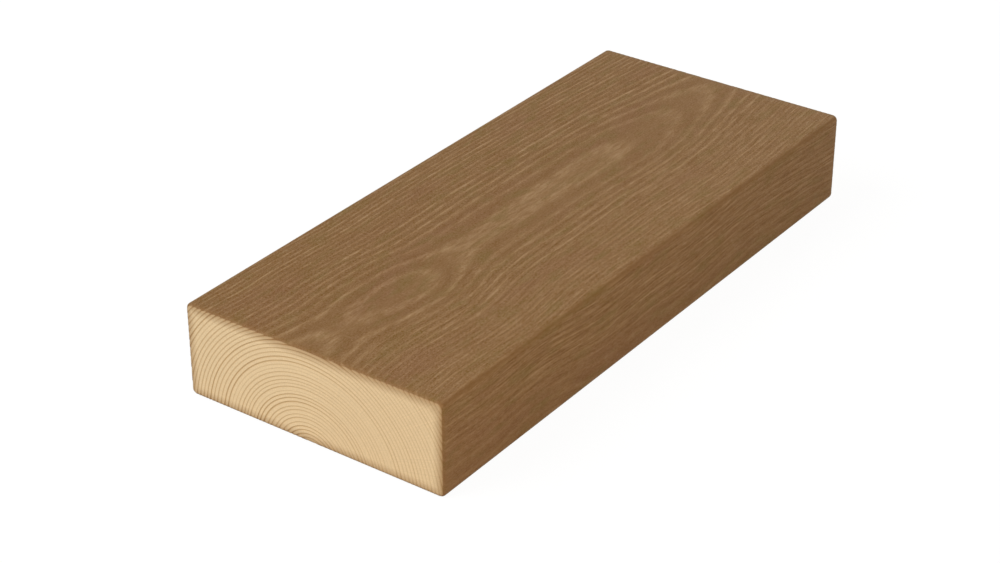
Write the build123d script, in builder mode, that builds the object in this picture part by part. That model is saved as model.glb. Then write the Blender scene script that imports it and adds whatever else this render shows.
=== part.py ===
"""Short length of pressure-treated pine board, lying flat on its wide face.

The board is one sawn piece. The four long edges are eased round where it left the moulder,
and both ends are docked square, with a smaller ease rubbed round the cut.

Frame: millimetres, +Z up. The length runs along Y, the width along X, and the origin is in the
middle of the underside.
"""

import os

from build123d import *

# Driving dimensions
board_width = 150.0
board_thickness = 50.0
board_length = 354.0
arris_radius = 3.0
end_ease_radius = 2.0

# The planed section, run along the grain, then eased round both docked ends
with BuildPart() as pine_board:
    with BuildSketch(Plane.XZ) as section:
        with Locations((0, board_thickness / 2)):
            RectangleRounded(board_width, board_thickness, arris_radius)
    extrude(amount=board_length / 2, both=True)
    docked_ends = pine_board.faces().filter_by(Axis.Y)
    fillet(docked_ends.edges(), radius=end_ease_radius)

pine_board.part.label = "pine_board"

os.makedirs("parts", exist_ok=True)
export_step(pine_board.part, "parts/pine_board.step")
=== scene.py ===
"""Dresses a short length of pressure-treated pine board and sets it in a plain studio.

The board is one piece of wood, so one growth field gives all of its faces their grain: yearly rings about
a pith that runs just under the board. The docked ends cut the rings into arcs, the wide faces cut them
into loops and arches where the pith rises and falls, and the edges cut them into gently waving lines.
The field is worked out for each vertex, so the carved relief and the colour of the grain agree.

Lengths in the classes of the board and its finish are millimetres in the frame of the CAD part: x across the
width, y along the grain and z up, with the origin in the middle of the underside. The board's mesh is scaled
to metres once it is made. The studio is in metres.
"""

import logging
import math
from dataclasses import dataclass, field
from enum import Enum
from typing import Any

import bmesh
import bpy
import numpy as np
from mathutils import Euler, Matrix, Vector, noise


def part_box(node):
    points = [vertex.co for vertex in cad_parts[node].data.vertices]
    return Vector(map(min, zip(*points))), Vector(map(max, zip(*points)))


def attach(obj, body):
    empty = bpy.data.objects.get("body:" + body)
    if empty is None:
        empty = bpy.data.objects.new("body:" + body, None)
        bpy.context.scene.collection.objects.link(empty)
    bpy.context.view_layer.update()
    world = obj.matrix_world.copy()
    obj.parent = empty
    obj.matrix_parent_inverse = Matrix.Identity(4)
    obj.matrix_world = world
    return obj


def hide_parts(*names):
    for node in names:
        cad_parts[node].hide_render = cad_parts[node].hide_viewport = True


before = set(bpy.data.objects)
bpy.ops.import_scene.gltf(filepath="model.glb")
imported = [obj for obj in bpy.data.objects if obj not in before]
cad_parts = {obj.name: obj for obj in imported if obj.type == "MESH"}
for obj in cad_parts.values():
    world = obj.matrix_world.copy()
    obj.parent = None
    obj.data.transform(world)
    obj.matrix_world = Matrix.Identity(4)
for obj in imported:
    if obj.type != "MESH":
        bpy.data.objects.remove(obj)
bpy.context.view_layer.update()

MM = 0.001
NODE = "pine_board"
BODY = "root"

# Names of the values that each vertex of the board carries
AGE = "age"
FROM_END = "from_end"
BEARING = "bearing"
CLEAR = "clear"
STRENGTH = "strength"
HARD = "hard"
EDGE = "edge"

# How near to 1 or 0 a part of a direction is, to count as facing an axis, parallel to it or square to it
FACING = 0.99
PARALLEL = 0.9999
SQUARE = 1e-6

Tree = bpy.types.NodeTree
Socket = bpy.types.NodeSocket
Stations = tuple[tuple[float, float], ...]
Span = tuple[float, float]

log = logging.getLogger("pine_board")


def linear(code: str) -> tuple[float, float, float, float]:
    """Turns an sRGB hex colour into linear RGBA.

    Args:
        code: The colour as "#rrggbb".

    Returns:
        Red, green and blue in linear light, and an alpha of 1.
    """
    parts = [int(code[i:i + 2], 16) / 255 for i in (1, 3, 5)]
    return (*(c / 12.92 if c <= 0.04045 else ((c + 0.055) / 1.055) ** 2.4 for c in parts), 1.0)


def add_node(tree: Tree, kind: str, inputs: dict[str | int, Any] | None = None, stops: Stations = (),
             out: str = "", **settings: Any) -> Socket | None:
    """Adds a shader node with its settings, values and links.

    Args:
        tree: The node tree to add to.
        kind: The node's type, without "ShaderNode".
        inputs: Values or output sockets for the node's inputs, by name or number.
        stops: Places and levels for a grey colour ramp, its two ends before the rest.
        out: The name of the output to return, or nothing for the first one.
        **settings: The node's own properties.

    Returns:
        The output socket, or None for a node that has none.
    """
    node = tree.nodes.new("ShaderNode" + kind)
    for name, value in settings.items():
        setattr(node, name, value)
    live = [socket for socket in node.inputs if socket.enabled]
    for name, value in (inputs or {}).items():
        socket = live[name] if isinstance(name, int) else next(s for s in live if s.name == name)
        if isinstance(value, Socket):
            tree.links.new(value, socket)
        else:
            socket.default_value = value
    for i, (place, level) in enumerate(stops):
        elements = node.color_ramp.elements
        element = elements[i] if i < len(elements) else elements.new(place)
        element.position = place
        element.color = (level, level, level, 1)
    return next((s for s in node.outputs if s.enabled and out in ("", s.name)), None)


class DockedEnd(Enum):
    """The two sawn ends, by the way that each faces along the grain."""

    FRONT = -1
    BACK = 1


@dataclass(frozen=True)
class Swell:
    """A place where the growth layers are pushed out, as over a branch that healed long ago.

    along is measured from the front end, the reaches are how far it fades, and years is how many rings it
    pushes them by.
    """

    x: float
    along: float
    z: float
    reach_across: float
    reach_along: float
    years: float


@dataclass(frozen=True)
class Growth:
    """How the tree grew: the rings about a pith that wanders under the board.

    The stations are pairs of a distance from the front end and a value there. pith_drop is how far the
    pith lies below its first depth, in rings, and pith_drift is how far it lies to the side. flatness is the
    rings' height to their width, and waver how far noise shifts them, in rings. painted_fade is how much
    fainter and shallower the rings are made to the right of the pith, a painted stand-in for the light from
    the left showing them less there, and painted_fade_onset how soon they get so. uneven pairs a year with
    how far, in rings, good and bad years before it have pushed it out. strong, usual and faint are how hard
    the latewood of such years is. The usual ones swing by a little from year to year, and a year's latewood
    counts from line_start, a fraction of the year.
    """

    length: float
    ring_width: float = 2.05
    flatness: float = 0.951
    pith_depth: float = 8.4
    first_year: float = 0.55
    pith_drop: Stations = (
        (0, -0.55), (13, -0.25), (25, 0.0), (40, -0.32), (60, -0.58), (78, -0.50), (92, 0.0), (101, 0.40),
        (113, 0.68), (160, 0.72), (210, 0.72), (243, 0.64), (256, 0.66), (271, 0.88), (285, 1.24),
        (297, 1.60), (310, 2.0), (330, 2.55), (354, 3.2))
    pith_drift: Stations = (
        (0, -1.4), (40, -1.2), (80, 0.6), (125, -1.6), (190, -1.8), (250, -0.2), (300, 0.2), (354, -0.6))
    swells: tuple[Swell, ...] = (
        Swell(0, 264, 50, 9, 22, -0.30),
        Swell(75, 80, 30, 36, 28, -0.50),
        Swell(75, 88, 4, 12, 18, 0.20),
        Swell(75, 165, 25, 35, 24, 0.32),
        Swell(75, 217, 25, 35, 24, -0.15),
        Swell(-75, 120, 20, 32, 30, 0.35),
        Swell(-75, 245, 25, 34, 34, -0.30))
    uneven: Stations = (
        (7, -0.08), (9, -0.12), (10, -0.08), (11, 0.05), (12, -0.10), (13, 0.07), (14, -0.05), (15, 0.18),
        (17, 0.12), (18, -0.05), (19, 0.10), (20, -0.08), (21, -0.20), (22, -0.25), (23, -0.17), (24, -0.30),
        (26, -0.25), (27, -0.20), (28, -0.10), (29.5, 0.0))
    strong_years: tuple[int, ...] = (7, 8, 9, 15, 16, 17, 26, 27, 31, 41)
    faint_years: tuple[int, ...] = (18, 24, 25, 39)
    strong: float = 0.88
    usual: float = 0.58
    faint: float = 0.3
    swing: float = 0.07
    swing_turn: float = 2.4
    line_start: float = 0.35
    painted_fade: float = 0.4
    painted_fade_onset: float = 1.3
    waver: float = 0.10
    waver_across: float = 26.0
    waver_along: float = 75.0

    @staticmethod
    def between(stations: Stations, along: np.ndarray) -> np.ndarray:
        """Reads a smooth curve through the stations.

        Args:
            stations: Pairs of a place, which is a distance from the front end or a year, and a value.
            along: The places to read.

        Returns:
            The value at each place, on cubic spans that share their slopes.
        """
        place, value = np.array(stations, float).T
        slope = np.gradient(value, place)
        i = np.clip(np.searchsorted(place, along) - 1, 0, len(place) - 2)
        span = place[i + 1] - place[i]
        t = np.clip((along - place[i]) / span, 0, 1)
        near = (1 + 2 * t) * (1 - t) ** 2 * value[i] + t * (1 - t) ** 2 * span * slope[i]
        far = t ** 2 * (3 - 2 * t) * value[i + 1] + t ** 2 * (t - 1) * span * slope[i + 1]
        return near + far

    def pith(self, y: np.ndarray) -> tuple[np.ndarray, np.ndarray]:
        """Finds the pith at some places along the board.

        Args:
            y: Places along the grain.

        Returns:
            The pith's x and z there.
        """
        along = np.asarray(y) + self.length / 2
        drop = self.between(self.pith_drop, along) * self.ring_width * self.flatness
        return self.between(self.pith_drift, along), -self.pith_depth - drop

    def bearing(self, points: np.ndarray) -> np.ndarray:
        """Finds which way some points lie from the pith.

        Args:
            points: Rows of x, y and z.

        Returns:
            Radians from straight up, towards the right edge.
        """
        pith_x, pith_z = self.pith(points[:, 1])
        return np.arctan2(points[:, 0] - pith_x, points[:, 2] - pith_z)

    def strength(self, bearing: np.ndarray) -> np.ndarray:
        """Gives how strong the rings are on each side of the pith. Their fading to its right is painted, a
        stand-in for the light from the left showing them less there.

        Args:
            bearing: Radians from straight up, towards the right edge.

        Returns:
            1 on the weather side, falling by the lee on the sheltered side.
        """
        return 1 - self.painted_fade * np.clip(self.painted_fade_onset * np.sin(bearing), 0, 1)

    def hardness(self, age: np.ndarray) -> np.ndarray:
        """Gives how dark and hard the latewood of each year is.

        Args:
            age: Years from the pith.

        Returns:
            Near 1 in strong years, little in faint ones and about half in the others, which differ a little.
        """
        ring = np.floor(age + (1 - self.line_start)).astype(int)
        usual = self.usual + self.swing * np.sin(self.swing_turn * ring)
        level = np.where(np.isin(ring, self.faint_years), self.faint, usual)
        return np.where(np.isin(ring, self.strong_years), self.strong, level)

    def age(self, points: np.ndarray) -> np.ndarray:
        """Counts the years from the pith to some points.

        Args:
            points: Rows of x, y and z.

        Returns:
            The years, whose whole part is the ring and whose fraction is the season within it.
        """
        x, y, z = points.T
        pith_x, pith_z = self.pith(y)
        years = np.hypot(x - pith_x, (z - pith_z) / self.flatness) / self.ring_width + self.first_year
        years -= self.between(self.uneven, years)
        for s in self.swells:
            across = ((x - s.x) ** 2 + (z - s.z) ** 2) / s.reach_across ** 2
            years -= s.years * np.exp(-across - ((y + self.length / 2 - s.along) / s.reach_along) ** 2)
        scale = Vector((1 / self.waver_across, 1 / self.waver_along, 1 / self.waver_across))
        return years + self.waver * np.array([noise.noise(Vector(p) * scale) for p in points])


@dataclass(frozen=True)
class PlanedFace:
    """Treated pine as planed: stained brown throughout, with a paler line of earlywood in each year.

    season is how pale each part of a year is. lines is the least and the most that a year's line shows,
    dashes is how it breaks along the grain, and line_base what is taken off all of it. streaks is how far
    the finer streaks go either way, with the times by which the painted fade to the right of the pith, the
    edges and fresh or rubbed patches change them. even is the brown where rings are blurred and where they
    are clear. specks and pits are the dust in torn fibres and in pits, and smooth is the share of it on the
    edges.
    line_clear and even_clear are how clear the rings are where the lines and the even brown reach their full
    level. Within end_fade of the docked end the rings are less clear, down to a share of end_clear.
    """

    latewood: str = "#7b572d"
    earlywood: str = "#a5845d"
    rusty: str = "#835a3d"
    olive: str = "#7b6231"
    dust: str = "#827869"
    rusty_most: float = 0.4
    olive_most: float = 0.6
    roughness: float = 0.68
    season: Stations = (
        (0.0, 0.10), (1.0, 0.10), (0.14, 0.28), (0.32, 1.0), (0.43, 0.72), (0.52, 0.20), (0.62, 0.0),
        (0.90, 0.0))
    lines: Span = (0.36, 0.84)
    dashes: Span = (0.25, 1.45)
    line_base: float = 0.2
    line_clear: float = 0.66
    streaks: float = 0.2
    streaks_faded: float = 1.5
    streaks_edge: float = 0.45
    streaks_patch: Span = (1.15, 0.65)
    even: Span = (0.1, 0.36)
    even_clear: float = 0.35
    specks: Span = (0.33, 0.7)
    pits: Span = (0.35, 1.25)
    smooth: float = 0.6
    end_fade: float = 5.0
    end_clear: float = 0.3


@dataclass(frozen=True)
class SawnEnd:
    """Bare pine end grain as docked: pale earlywood, thin darker latewood and a soft, matt saw finish.

    season is how dark each part of a year is, and line_base a level that the painted fade doesn't change.
    The darker rim, which is partly treatment soaked in from the faces and partly painted shade of the
    rounded ease, reaches in by dark_rim_depth. It fades on dark_rim_curve, and dark_rim_wood and
    dark_rim_line are how strong it is in plain wood and how much more in the lines.
    """

    earlywood: str = "#e7cea6"
    latewood: str = "#ad8655"
    soaked_and_shaded: str = "#9a764d"
    roughness: float = 0.8
    season: Stations = (
        (0.0, 0.55), (1.0, 0.55), (0.08, 0.12), (0.18, 0.0), (0.45, 0.0), (0.66, 0.18), (0.80, 0.55),
        (0.92, 1.0))
    line_base: float = 0.2
    dark_rim_depth: float = 5.4
    dark_rim_curve: float = 1.1
    dark_rim_wood: float = 0.7
    dark_rim_line: float = 0.8
    pore_tone: float = 0.10
    ray_tone: float = 0.03


@dataclass(frozen=True)
class TreatedPine:
    """Pressure-treated pine: brown planed faces, and bare ends where it was cut to length afterwards.

    The eye gets a dull brown with pale, broken lines along the grain, and a light end with thin, dark arcs.
    Fibres are tens of microns wide, so they are drawn as bundles that are coarse enough to show. border is
    where the brown begins and where it is full, tooth how far latewood shifts it where the rings are painted
    faint and where they are not, and ragged how far pores do. faded_strength is the rings' strength where the
    painted fade is full.
    """

    face: PlanedFace = PlanedFace()
    end: SawnEnd = SawnEnd()
    ior: float = 1.53
    specular: float = 0.2
    wander_width: float = 4.0
    wander_length: float = 45.0
    wander_years: float = 0.30
    fibre_width: float = 0.8
    fibre_length: float = 8.0
    fibre_years: float = 0.24
    dash_width: float = 2.0
    dash_length: float = 10.0
    streaks_a_year: float = 4.2
    streak_length: float = 19.0
    speck_width: float = 0.6
    speck_length: float = 4.5
    pit_width: float = 0.4
    pit_length: float = 1.3
    patch_width: float = 26.0
    patch_length: float = 90.0
    blotch_width: float = 5.2
    blotch_length: float = 18.0
    pore_size: float = 0.45
    ray_angle: float = 0.01
    faded_strength: float = 0.6
    tooth: Span = (0.2, 0.8)
    ragged: float = 0.25
    border: Span = (-0.65, 0.05)
    rough_spread: float = 0.08
    bump: float = 0.5
    bump_depth: float = 0.1

    def grain_noise(self, tree: Tree, width: float, length: float, detail: float) -> Socket:
        """Adds noise that is drawn out along the grain.

        Args:
            tree: The node tree to add to.
            width: The size of a feature across the grain.
            length: The size of a feature along the grain.
            detail: The noise's octaves.

        Returns:
            The noise, from 0 to 1.
        """
        place = add_node(tree, "TexCoord", out="Object")
        scale = (1 / (width * MM), 1 / (length * MM), 1 / (width * MM))
        mapped = add_node(tree, "Mapping", {"Vector": place, "Scale": scale})
        return add_node(tree, "TexNoise", {"Vector": mapped, "Scale": 1.0, "Detail": detail})

    def material(self) -> bpy.types.Material:
        """Makes the material from the board's own growth attributes and from noise along the grain.

        Returns:
            The material.
        """
        made = bpy.data.materials.new("pressure_treated_pine_planed_and_docked")
        made.use_nodes = True
        tree = made.node_tree
        tree.nodes.clear()
        age = add_node(tree, "Attribute", out="Fac", attribute_name=AGE)
        from_end = add_node(tree, "Attribute", out="Fac", attribute_name=FROM_END)
        fibre = self.grain_noise(tree, self.fibre_width, self.fibre_length, 2.0)
        speck = self.grain_noise(tree, self.speck_width, self.speck_length, 1.0)
        pores = self.grain_noise(tree, self.pore_size, self.pore_size, 2.0)
        brown = self.planed_colour(tree, age, from_end, fibre, speck)
        line = self.end_lines(tree, age)
        pale = self.sawn_colour(tree, line, from_end, pores)

        # The border between them lies on the ease, with a tooth at each ring that is blunter where the rings
        # are painted faint, to the right of the pith
        strength = add_node(tree, "Attribute", out="Fac", attribute_name=STRENGTH)
        tooth = add_node(tree, "MapRange", {"Value": strength, "From Min": self.faded_strength,
                                            "To Min": self.tooth[0], "To Max": self.tooth[1]})
        border = add_node(tree, "Math", {0: line, 1: tooth, 2: from_end}, operation="MULTIPLY_ADD")
        ragged = add_node(tree, "MapRange", {"Value": pores, "From Min": 0.2, "From Max": 0.8,
                                             "To Min": -self.ragged, "To Max": self.ragged})
        border = add_node(tree, "Math", {0: border, 1: ragged}, operation="ADD")
        treated = add_node(tree, "MapRange", {"Value": border, "From Min": self.border[0],
                                              "From Max": self.border[1]}, interpolation_type="SMOOTHSTEP")
        colour = add_node(tree, "Mix", {"Factor": treated, "A": pale, "B": brown}, data_type="RGBA")
        matt = add_node(tree, "MapRange", {"Value": treated, "To Min": self.end.roughness,
                                           "To Max": self.face.roughness})
        worn = add_node(tree, "MapRange", {"Value": fibre, "From Min": 0.2, "From Max": 0.8,
                                           "To Min": -self.rough_spread, "To Max": self.rough_spread})
        rough = add_node(tree, "Math", {0: matt, 1: worn}, operation="ADD")
        height = add_node(tree, "Mix", {"Factor": treated, "A": pores, "B": fibre}, data_type="FLOAT")
        bump = add_node(tree, "Bump", {"Height": height, "Strength": self.bump,
                                       "Distance": self.bump_depth * MM})
        wood = add_node(tree, "BsdfPrincipled", {"Base Color": colour, "Roughness": rough, "IOR": self.ior,
                                                 "Specular IOR Level": self.specular, "Normal": bump})
        add_node(tree, "OutputMaterial", {"Surface": wood})
        return made

    def planed_colour(self, tree: Tree, age: Socket, from_end: Socket, fibre: Socket, speck: Socket
                      ) -> Socket:
        """Adds the colour of the planed faces.

        Args:
            tree: The node tree to add to.
            age: Years from the pith.
            from_end: Distance from the end's ease.
            fibre: Noise of the bundles of fibres.
            speck: Noise of the short ends of fibres that the planer tore.

        Returns:
            The colour.
        """
        face = self.face
        wander = self.grain_noise(tree, self.wander_width, self.wander_length, 1.0)
        dash = self.grain_noise(tree, self.dash_width, self.dash_length, 1.0)
        patch = self.grain_noise(tree, self.patch_width, self.patch_length, 2.0)
        blotch = self.grain_noise(tree, self.blotch_width, self.blotch_length, 2.0)
        pit = self.grain_noise(tree, self.pit_width, self.pit_length, 1.0)

        # Lines and streaks fade into the even brown where they are not clear, and close to the docked end
        clear = add_node(tree, "Attribute", out="Fac", attribute_name=CLEAR)
        near = add_node(tree, "MapRange", {"Value": from_end, "From Max": face.end_fade,
                                           "To Min": face.end_clear})
        clear = add_node(tree, "Math", {0: clear, 1: near}, operation="MULTIPLY")

        # Fibres run straight while the rings curve, so a ring's border frays along the grain, but less on
        # the edges, which the planer left smoother than the wide faces
        edge = add_node(tree, "Attribute", out="Fac", attribute_name=EDGE)
        torn = add_node(tree, "MapRange", {"Value": edge, "To Min": 1.0, "To Max": face.smooth})
        fray = add_node(tree, "Math", {0: clear, 1: torn}, operation="MULTIPLY")
        shift = -(self.wander_years + self.fibre_years) / 2
        frayed = add_node(tree, "Math", {0: wander, 1: self.wander_years, 2: shift}, operation="MULTIPLY_ADD")
        frayed = add_node(tree, "Math", {0: fibre, 1: self.fibre_years, 2: frayed}, operation="MULTIPLY_ADD")
        frayed = add_node(tree, "Math", {0: frayed, 1: fray, 2: age}, operation="MULTIPLY_ADD")
        season = add_node(tree, "Math", {0: frayed}, operation="FRACT")

        # The paler earlywood grows first in a year and darkens into the latewood
        early = add_node(tree, "ValToRGB", {"Fac": season}, stops=face.season)
        year = add_node(tree, "Math", {0: frayed}, operation="CEIL")
        chance = add_node(tree, "TexWhiteNoise", {"W": year}, out="Value", noise_dimensions="1D")
        strong = add_node(tree, "MapRange", {"Value": chance, "To Min": face.lines[0],
                                             "To Max": face.lines[1]})
        broken = add_node(tree, "MapRange", {"Value": dash, "From Min": 0.3, "From Max": 0.7,
                                             "To Min": face.dashes[0], "To Max": face.dashes[1]})
        strong = add_node(tree, "Math", {0: strong, 1: broken}, operation="MULTIPLY")
        lines = add_node(tree, "Math", {0: early, 1: strong, 2: -face.line_base}, operation="MULTIPLY_ADD")

        # Weeks of rain and drought within a year leave finer streaks that follow its ring
        place = add_node(tree, "TexCoord", out="Object")
        along = add_node(tree, "SeparateXYZ", {"Vector": place}, out="Y")
        along = add_node(tree, "Math", {0: along, 1: 1 / (self.streak_length * MM)}, operation="MULTIPLY")
        across = add_node(tree, "Math", {0: frayed, 1: self.streaks_a_year}, operation="MULTIPLY")
        spot = add_node(tree, "CombineXYZ", {"X": across, "Y": along})
        streak = add_node(tree, "TexNoise", {"Vector": spot, "Scale": 1.0, "Detail": 3.0},
                          noise_dimensions="2D")
        streak = add_node(tree, "MapRange", {"Value": streak, "From Min": 0.25, "From Max": 0.75,
                                             "To Min": -face.streaks, "To Max": face.streaks}, clamp=False)

        # The streaks outlast the lines where the rings are painted faint, to the right of the pith, and on
        # the edges, but fade twice over where rings blur, and rubbed arrises are a shade darker
        strength = add_node(tree, "Attribute", out="Fac", attribute_name=STRENGTH)
        wild = add_node(tree, "MapRange", {"Value": strength, "From Min": self.faded_strength,
                                           "To Min": face.streaks_faded, "To Max": 1.0})
        wild = add_node(tree, "Math", {0: edge, 1: face.streaks_edge, 2: wild}, operation="MULTIPLY_ADD")
        streak = add_node(tree, "Math", {0: streak, 1: wild}, operation="MULTIPLY")
        worn = add_node(tree, "MapRange", {"Value": patch, "From Min": 0.3, "From Max": 0.7,
                                           "To Min": face.streaks_patch[0], "To Max": face.streaks_patch[1]})
        worn = add_node(tree, "Math", {0: clear, 1: worn}, operation="MULTIPLY")
        worn = add_node(tree, "Math", {0: clear, 1: worn}, operation="MULTIPLY")
        even = add_node(tree, "MapRange", {"Value": clear, "From Max": face.even_clear,
                                           "To Min": face.even[0], "To Max": face.even[1]})
        streak = add_node(tree, "Math", {0: streak, 1: worn, 2: even}, operation="MULTIPLY_ADD")
        shows = add_node(tree, "MapRange", {"Value": clear, "From Max": face.line_clear})
        # The lines are painted fainter to the right of the pith, a stand-in for the light from the left
        # showing them less there
        shows = add_node(tree, "Math", {0: shows, 1: strength}, operation="MULTIPLY")
        lines = add_node(tree, "Math", {0: lines, 1: shows, 2: streak}, operation="MULTIPLY_ADD")
        brown = add_node(tree, "Mix", {"Factor": lines, "A": linear(face.latewood),
                                       "B": linear(face.earlywood)}, data_type="RGBA")
        for noise_at, tint, most in ((patch, face.rusty, face.rusty_most),
                                     (blotch, face.olive, face.olive_most)):
            amount = add_node(tree, "MapRange", {"Value": noise_at, "From Min": 0.5, "From Max": 0.75,
                                                 "To Min": 0.0, "To Max": most})
            brown = add_node(tree, "Mix", {"Factor": amount, "A": brown, "B": linear(tint)}, data_type="RGBA")

        # Torn fibres speckle the lines more than the smooth brown between them, and pits dot all of it
        reach = add_node(tree, "MapRange", {"Value": lines, "To Min": face.specks[0],
                                            "To Max": face.specks[1]})
        dots = add_node(tree, "Math", {0: speck, 1: 0.5}, operation="SUBTRACT")
        pitted = add_node(tree, "MapRange", {"Value": clear, "To Min": face.pits[0],
                                             "To Max": face.pits[1]})
        tone = add_node(tree, "Math", {0: pit, 1: 0.5}, operation="SUBTRACT")
        tone = add_node(tree, "Math", {0: tone, 1: pitted}, operation="MULTIPLY")
        tone = add_node(tree, "Math", {0: dots, 1: reach, 2: tone}, operation="MULTIPLY_ADD")
        tone = add_node(tree, "Math", {0: tone, 1: torn}, operation="MULTIPLY")
        dust = add_node(tree, "VectorMath", {0: linear(face.dust)[:3], "Scale": tone}, operation="SCALE")
        return add_node(tree, "VectorMath", {0: brown, 1: dust}, operation="ADD")

    def end_lines(self, tree: Tree, age: Socket) -> Socket:
        """Adds the dark latewood lines of the docked ends.

        Args:
            tree: The node tree to add to.
            age: Years from the pith.

        Returns:
            How dark the line is, from 0 to about 1.
        """
        season = add_node(tree, "Math", {0: age}, operation="FRACT")
        line = add_node(tree, "ValToRGB", {"Fac": season}, stops=self.end.season)

        # Good and bad years leave groups of stronger lines, and all of them are painted fainter to the right
        # of the pith, a stand-in for the light from the left showing them less there
        hard = add_node(tree, "Attribute", out="Fac", attribute_name=HARD)
        line = add_node(tree, "Math", {0: line, 1: hard, 2: -self.end.line_base}, operation="MULTIPLY_ADD")
        painted_fade = add_node(tree, "Attribute", out="Fac", attribute_name=STRENGTH)
        return add_node(tree, "Math", {0: line, 1: painted_fade, 2: self.end.line_base}, operation="MULTIPLY_ADD")

    def sawn_colour(self, tree: Tree, line: Socket, from_end: Socket, pores: Socket) -> Socket:
        """Adds the colour of the docked ends.

        Args:
            tree: The node tree to add to.
            line: How dark the latewood lines are.
            from_end: Distance from the end's ease.
            pores: Noise of the cut fibres' ends.

        Returns:
            The colour.
        """
        end = self.end
        pale = add_node(tree, "Mix", {"Factor": line, "A": linear(end.earlywood), "B": linear(end.latewood)},
                        data_type="RGBA")

        # The treatment has soaked a little way in from the faces, and further along the latewood. This darker
        # rim is partly that soak and partly painted shade, a stand-in for the rounded ease turning away from
        # the light
        dark_rim = add_node(tree, "MapRange", {"Value": from_end, "From Min": -end.dark_rim_depth, "From Max": 0.0})
        dark_rim = add_node(tree, "Math", {0: dark_rim, 1: end.dark_rim_curve}, operation="POWER")
        drawn = add_node(tree, "Math", {0: line, 1: end.dark_rim_line, 2: end.dark_rim_wood},
                         operation="MULTIPLY_ADD")
        dark_rim = add_node(tree, "Math", {0: dark_rim, 1: drawn}, operation="MULTIPLY", use_clamp=True)
        pale = add_node(tree, "Mix", {"Factor": dark_rim, "A": pale, "B": linear(end.soaked_and_shaded)}, data_type="RGBA")
        bearing = add_node(tree, "Attribute", out="Fac", attribute_name=BEARING)
        rays = add_node(tree, "TexNoise", {"W": bearing, "Scale": 1 / self.ray_angle, "Detail": 1.0},
                        noise_dimensions="1D")
        for noise_at, most in ((pores, end.pore_tone), (rays, end.ray_tone)):
            tone = add_node(tree, "MapRange", {"Value": noise_at, "From Min": 0.2, "From Max": 0.8,
                                               "To Min": 1 - most, "To Max": 1 + most})
            pale = add_node(tree, "VectorMath", {"Vector": pale, "Scale": tone}, operation="SCALE")
        return pale


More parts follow.
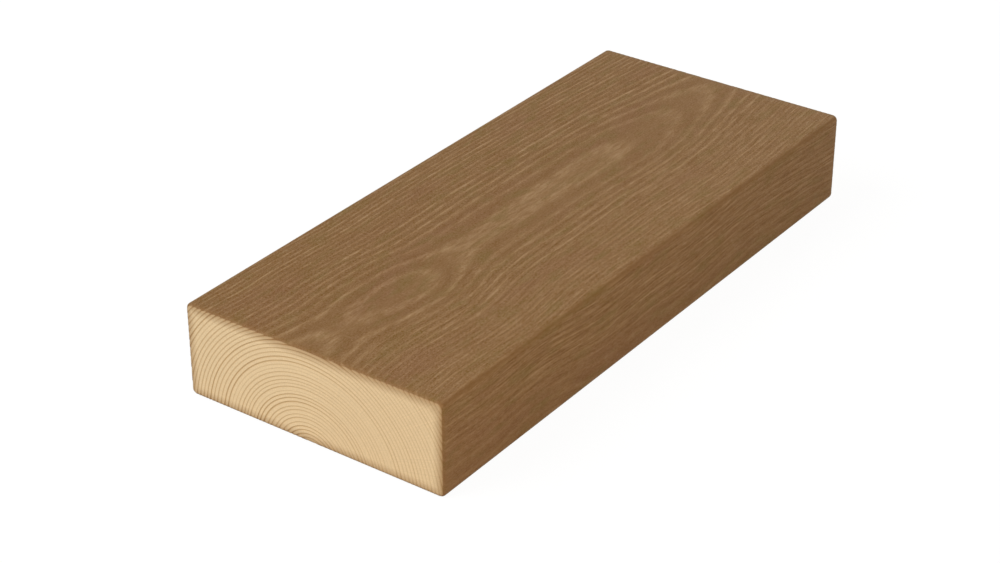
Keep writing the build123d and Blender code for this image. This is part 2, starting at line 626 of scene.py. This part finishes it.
@dataclass
class Board:
    """The board itself: four planed faces, two docked ends, and the rings carved through all of them.

    The steps are the mesh's, across and along the grain, and seam is the gap between the end's ease and its
    disc of rings, which triangles fill. Grooves are how deep latewood lies, and soft_groove is the share of
    that in the softest years. blurred is how clearly rings show where the surface lies along them, clearing
    how fast that grows as it turns across them, and rubbing how much of it is lost on the rounded arrises.
    """

    width: float
    length: float
    thickness: float
    growth: Growth
    arris_radius: float = 3.0
    end_ease: float = 2.0
    arris_segments: int = 6
    ease_segments: int = 4
    grain_step: float = 0.5
    length_step: float = 4.5
    ring_steps: int = 8
    ring_spokes: int = 72
    spare_rings: int = 3
    settle_rounds: int = 6
    seam: float = 0.3
    least_radius: float = 0.3
    trim_slack: float = 1e-5
    end_groove: float = 0.14
    face_groove: float = 0.05
    ease_groove: float = 0.17
    ease_reach: float = 2.5
    soft_groove: float = 0.4
    blurred: float = 0.4
    clearing: float = 1.3
    rubbing: float = 0.9
    bm: bmesh.types.BMesh = field(default_factory=bmesh.new)

    def build(self) -> bpy.types.Object:
        """Makes the whole board as one closed mesh.

        Returns:
            The board's object, at the origin, in metres.
        """
        self.shape_faces()
        for end in DockedEnd:
            self.close_end(end)
        bmesh.ops.recalc_face_normals(self.bm, faces=self.bm.faces[:])
        self.bm.normal_update()
        points = np.array([v.co for v in self.bm.verts])
        normals = np.array([v.normal for v in self.bm.verts])
        age = self.growth.age(points)
        bearing = self.growth.bearing(points)
        from_end = self.distance_from_end(points, normals)
        clear = self.clearness(normals, bearing)
        strength = self.growth.strength(bearing)
        hard = self.growth.hardness(age)
        hard_share = self.soft_groove + (1 - self.soft_groove) * hard
        depth = self.relief(age, from_end) * clear * strength * hard_share
        carved = points - normals * depth[:, None]
        for vertex, place in zip(self.bm.verts, carved):
            vertex.co = place
        bmesh.ops.scale(self.bm, vec=(MM, MM, MM), verts=self.bm.verts[:])
        mesh = bpy.data.meshes.new("board")
        self.bm.to_mesh(mesh)
        self.bm.free()
        mesh.shade_smooth()
        for name, values in ((AGE, age), (FROM_END, from_end), (BEARING, bearing), (CLEAR, clear),
                             (STRENGTH, strength), (HARD, hard), (EDGE, np.abs(normals[:, 0]))):
            mesh.attributes.new(name, "FLOAT", "POINT").data.foreach_set("value", values.astype(np.float32))
        board = bpy.data.objects.new("board", mesh)
        bpy.context.collection.objects.link(board)
        return board

    def shape_faces(self) -> None:
        """Makes the planed faces and the eases as an open tube, divided finely across the grain."""
        place = Matrix.Translation((0, 0, self.thickness / 2))
        size = Matrix.Diagonal((self.width, self.length, self.thickness, 1))
        bmesh.ops.create_cube(self.bm, size=1, matrix=place @ size)
        self.bevel(self.edges_along(Vector((0, 1, 0))), self.arris_radius, self.arris_segments)
        ends = [f for f in self.bm.faces if abs(f.normal.y) > FACING]
        self.bevel(list({e for f in ends for e in f.edges}), self.end_ease, self.ease_segments)
        ends = [f for f in self.bm.faces if abs(f.normal.y) > FACING and len(f.verts) > 4]
        bmesh.ops.delete(self.bm, geom=ends, context="FACES_ONLY")
        for axis, step in ((0, self.grain_step), (2, self.grain_step), (1, self.length_step)):
            way = Vector([float(i == axis) for i in range(3)])
            edges = [e for e in self.edges_along(way) if e.calc_length() > 2 * self.arris_radius]
            cuts = round(max(e.calc_length() for e in edges) / step) - 1
            bmesh.ops.subdivide_edges(self.bm, edges=edges, cuts=cuts, use_grid_fill=True)

    def edges_along(self, way: Vector) -> list[bmesh.types.BMEdge]:
        """Finds the edges that run one way.

        Args:
            way: A unit vector.

        Returns:
            The edges along it.
        """
        found = []
        for edge in self.bm.edges:
            run = (edge.verts[1].co - edge.verts[0].co).normalized()
            if abs(run.dot(way)) > PARALLEL:
                found.append(edge)
        return found

    def bevel(self, edges: list[bmesh.types.BMEdge], radius: float, segments: int) -> None:
        """Rounds edges over to a radius."""
        bmesh.ops.bevel(self.bm, geom=edges, offset=radius, offset_type="OFFSET", affect="EDGES",
                        segments=segments, profile=0.5, material=-1)

    def close_end(self, end: DockedEnd) -> None:
        """Closes one end with the disc of rings that the saw laid bare.

        Args:
            end: Which end.
        """
        disc = self.ring_disc(end)
        mesh = bpy.data.meshes.new("rings")
        disc.to_mesh(mesh)
        disc.free()
        self.bm.from_mesh(mesh)
        bpy.data.meshes.remove(mesh)
        open_edges = [e for e in self.bm.edges if e.is_boundary and e.verts[0].co.y * end.value > 0]
        bmesh.ops.triangle_fill(self.bm, edges=open_edges, use_beauty=True, normal=(0, end.value, 0))

    def ring_disc(self, end: DockedEnd) -> bmesh.types.BMesh:
        """Spins the rings about the pith, settles them on the growth field and trims them to the end.

        Args:
            end: Which end.

        Returns:
            The flat disc, whose edges run along the rings.
        """
        y = end.value * self.length / 2
        pith_x, pith_z = (float(v) for v in self.growth.pith(np.array(y)))
        step = self.growth.ring_width
        furthest = math.hypot(self.width / 2 + abs(pith_x), self.thickness - pith_z)
        last_year = math.ceil(furthest / step) + self.spare_rings
        disc = bmesh.new()
        ends = [disc.verts.new((pith_x - years * step, y, pith_z)) for years in (1, last_year)]
        spoke = disc.edges.new(ends)
        bmesh.ops.subdivide_edges(disc, edges=[spoke], cuts=(last_year - 1) * self.ring_steps - 1)
        bmesh.ops.spin(disc, geom=disc.verts[:] + disc.edges[:], cent=(pith_x, y, pith_z), axis=(0, 1, 0),
                       angle=math.pi, steps=self.ring_spokes, use_merge=False, use_duplicate=False)
        self.settle(disc, pith_x, pith_z)
        for point, normal in self.outline(self.end_ease + self.seam):
            bmesh.ops.bisect_plane(disc, geom=disc.verts[:] + disc.edges[:] + disc.faces[:],
                                   dist=self.trim_slack, plane_co=(point.x, y, point.y),
                                   plane_no=(normal.x, 0, normal.y), clear_outer=True)
        return disc

    def settle(self, disc: bmesh.types.BMesh, pith_x: float, pith_z: float) -> None:
        """Moves each spun arc in or out until it lies on its own year of the growth field.

        Args:
            disc: The spun rings.
            pith_x: The pith's place across the width.
            pith_z: The pith's height.
        """
        points = np.array([v.co for v in disc.verts])
        years = np.hypot(points[:, 0] - pith_x, points[:, 2] - pith_z) / self.growth.ring_width
        reach = years * self.growth.ring_width
        way_x = (points[:, 0] - pith_x) / reach
        way_z = (points[:, 2] - pith_z) / reach
        for _ in range(self.settle_rounds):
            points[:, 0] = pith_x + way_x * reach
            points[:, 2] = pith_z + way_z * reach
            reach += (years - self.growth.age(points)) * self.growth.ring_width
        for vertex, place in zip(disc.verts, points):
            vertex.co = place

    def outline(self, inset: float) -> list[tuple[Vector, Vector]]:
        """Gives the lines that bound the board's section, set in from its faces.

        Args:
            inset: How far in.

        Returns:
            Pairs of a point and an outward normal, in x and z.
        """
        lines = []
        radius = max(self.arris_radius - inset, self.least_radius)
        turns = [i * math.pi / 2 / self.arris_segments for i in range(self.arris_segments)]
        for quarter in range(4):
            for turn in turns:
                angle = quarter * math.pi / 2 + turn
                normal = Vector((math.cos(angle), math.sin(angle)))
                corner = Vector((self.width / 2 - inset - radius, self.thickness / 2 - inset - radius))
                if normal.x < -SQUARE:
                    corner.x = -corner.x
                if normal.y < -SQUARE:
                    corner.y = -corner.y
                lines.append((corner + normal * radius + Vector((0, self.thickness / 2)), normal))
        return lines

    def distance_from_end(self, points: np.ndarray, normals: np.ndarray) -> np.ndarray:
        """Measures over the surface from the middle of the end's ease.

        Args:
            points: The vertices.
            normals: Their normals.

        Returns:
            Millimetres, above zero along the planed faces and below zero in over the docked end.
        """
        x, y, z = np.abs(points - (0, 0, self.thickness / 2)).T
        turn = np.arccos(np.clip(np.abs(normals[:, 1]), 0, 1)) - math.pi / 4
        inset = np.minimum(self.width / 2 - x, self.thickness / 2 - z)
        run = self.length / 2 - y
        over_face = np.maximum(run - self.end_ease, 0)
        over_end = np.where(run < self.end_ease / 2, np.maximum(inset - self.end_ease, 0), 0)
        return turn * self.end_ease + over_face - over_end

    def clearness(self, normals: np.ndarray, bearing: np.ndarray) -> np.ndarray:
        """Works out how clearly the rings show.

        Where the surface lies along a ring, one season spreads wide and its edges blur. The rounding of the
        arrises lies so too, and is rubbed smooth as well.

        Args:
            normals: The vertices' normals.
            bearing: Which way each vertex lies from the pith.

        Returns:
            A share from 0 to 1.
        """
        lying = normals[:, 0] * np.sin(bearing) + normals[:, 2] * np.cos(bearing)
        across = np.sqrt(1 - np.minimum(lying ** 2, 1))
        rubbed = (2 * normals[:, 0] * normals[:, 2]) ** 2
        return np.minimum(self.blurred + self.clearing * across, 1) * (1 - self.rubbing * rubbed)

    def relief(self, age: np.ndarray, from_end: np.ndarray) -> np.ndarray:
        """Works out how deep the surface lies below the sawn or planed one.

        Args:
            age: Years from the pith.
            from_end: Distance from the end's ease.

        Returns:
            Depths, which grow through each year and end in a sharp step up to the next.
        """
        season = (age + 1 / self.ring_steps) % 1
        groove = np.maximum(np.clip(2 * season - 1, 0, 1) ** 2, 1 - np.minimum(season * self.ring_steps, 1))
        flat = np.where(from_end > 0, self.face_groove, self.end_groove)
        near = np.exp(-(from_end / self.ease_reach) ** 2)
        return groove * (flat + (self.ease_groove - flat) * near)

    def dress(self, board: bpy.types.Object, finish: TreatedPine) -> None:
        """Gives the board its finish and its place in the frame.

        Args:
            board: The board's object.
            finish: The finish.
        """
        board.data.materials.append(finish.material())
        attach(board, BODY)
        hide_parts(NODE)


@dataclass(frozen=True)
class Lamp:
    """A soft round lamp: its place about the board, its width and how much light reaches the board.

    The strength doesn't change with the distance, because the lamp's power makes up for it.
    """

    name: str
    azimuth: float
    elevation: float
    distance: float
    width: float
    strength: float
    colour: str


@dataclass
class Studio:
    """A plain white floor, soft even light and the camera, in metres and degrees."""

    floor_size: float = 12.0
    floor_drop: float = 0.0001
    paper: str = "#cccccc"
    paper_shows: float = 0.14
    paper_white: float = 1.1
    sky: float = 0.29
    lamps: tuple[Lamp, ...] = (
        Lamp("key", -39.0, 40.0, 5.0, 4.0, 2.2, "#ffffff"),
        Lamp("side", 58.0, 20.0, 1.3, 1.1, 1.23, "#ffe7bf"),
        Lamp("back", 180.0, 20.0, 5.0, 4.0, 0.7, "#ffffff"))
    lens: float = 85.0
    sensor: float = 36.0
    azimuth: float = 35.789
    elevation: float = 29.817
    distance: float = 1.16435
    target: tuple[float, float, float] = (0.006868, -0.04005, 0.025)

    def build(self) -> None:
        """Sets up the floor, the light and the camera."""
        bpy.context.scene.view_settings.view_transform = "Standard"
        self.lay_floor()
        self.light_sky()
        for lamp in self.lamps:
            self.hang(lamp)
        self.aim_camera()

    def lay_floor(self) -> None:
        """Lays the floor, which is lifted towards white where it is seen, so that its shadow is faint.

        It shows from above only, so that the underside of the board can be seen from below.
        """
        bm = bmesh.new()
        bmesh.ops.create_grid(bm, x_segments=1, y_segments=1, size=self.floor_size / 2,
                              matrix=Matrix.Translation((0, 0, -self.floor_drop)))
        mesh = bpy.data.meshes.new("floor")
        bm.to_mesh(mesh)
        bm.free()
        floor = bpy.data.objects.new("floor", mesh)
        bpy.context.collection.objects.link(floor)
        material = bpy.data.materials.new("matt_white_studio_paper")
        material.use_nodes = True
        tree = material.node_tree
        tree.nodes.clear()
        paper = add_node(tree, "BsdfDiffuse", {"Color": linear(self.paper)})
        white = add_node(tree, "Emission", {"Strength": self.paper_white})
        lifted = add_node(tree, "MixShader", {"Fac": self.paper_shows, 1: white, 2: paper})
        shown = add_node(tree, "MixShader", {"Fac": self.seen(tree), 1: paper, 2: lifted})
        below = add_node(tree, "NewGeometry", out="Backfacing")
        shown = add_node(tree, "MixShader", {"Fac": below, 1: shown, 2: add_node(tree, "BsdfTransparent")})
        add_node(tree, "OutputMaterial", {"Surface": shown})
        mesh.materials.append(material)

    @staticmethod
    def seen(tree: Tree) -> Socket:
        """Adds a switch that is 1 for what is seen, straight or mirrored, and 0 for what only lights.

        Args:
            tree: The node tree to add to.

        Returns:
            The switch.
        """
        switch = add_node(tree, "LightPath", out="Is Camera Ray")
        for ray in ("Is Glossy Ray", "Is Transmission Ray"):
            switch = add_node(tree, "Math", {0: switch, 1: add_node(tree, "LightPath", out=ray)},
                              operation="MAXIMUM")
        return switch

    def light_sky(self) -> None:
        """Adds an even sky that is white where it is seen."""
        world = bpy.data.worlds.new("studio")
        bpy.context.scene.world = world
        world.use_nodes = True
        tree = world.node_tree
        tree.nodes.clear()
        strength = add_node(tree, "MapRange", {"Value": self.seen(tree), "To Min": self.sky, "To Max": 1.0})
        sky = add_node(tree, "Background", {"Color": linear("#ffffff"), "Strength": strength})
        add_node(tree, "OutputWorld", {"Surface": sky})

    @staticmethod
    def way(azimuth: float, elevation: float) -> Vector:
        """Gives the direction from the board to a place in the studio.

        Args:
            azimuth: Degrees round from the front end towards the right edge.
            elevation: Degrees above the floor.

        Returns:
            A unit vector.
        """
        return Euler((math.radians(-elevation), 0, math.radians(azimuth))).to_matrix() @ Vector((0, -1, 0))

    def hang(self, lamp: Lamp) -> None:
        """Hangs a lamp.

        Args:
            lamp: The lamp.
        """
        data = bpy.data.lights.new(lamp.name, "AREA")
        data.shape = "DISK"
        data.size = lamp.width
        data.energy = lamp.strength * math.pi * lamp.distance ** 2
        data.color = linear(lamp.colour)[:3]
        light = bpy.data.objects.new(lamp.name, data)
        way = self.way(lamp.azimuth, lamp.elevation)
        light.location = way * lamp.distance
        light.rotation_euler = way.to_track_quat("Z", "Y").to_euler()
        bpy.context.collection.objects.link(light)

    def aim_camera(self) -> None:
        """Places the camera at the photograph's viewing angle."""
        data = bpy.data.cameras.new("camera")
        data.lens = self.lens
        data.sensor_width = self.sensor
        camera = bpy.data.objects.new("camera", data)
        way = self.way(self.azimuth, self.elevation)
        camera.location = Vector(self.target) + way * self.distance
        camera.rotation_euler = way.to_track_quat("Z", "Y").to_euler()
        bpy.context.collection.objects.link(camera)
        bpy.context.scene.camera = camera


def main() -> None:
    """Builds the board and the studio."""
    logging.basicConfig(level=logging.INFO, format="%(name)s: %(message)s")
    low, high = (np.array(corner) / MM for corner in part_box(NODE))
    width, length, thickness = (float(v) for v in high - low)
    board = Board(width, length, thickness, Growth(length))
    piece = board.build()
    board.dress(piece, TreatedPine())
    log.info("%s: %d faces", piece.name, len(piece.data.polygons))
    Studio().build()


if __name__ == "__main__":
    main()
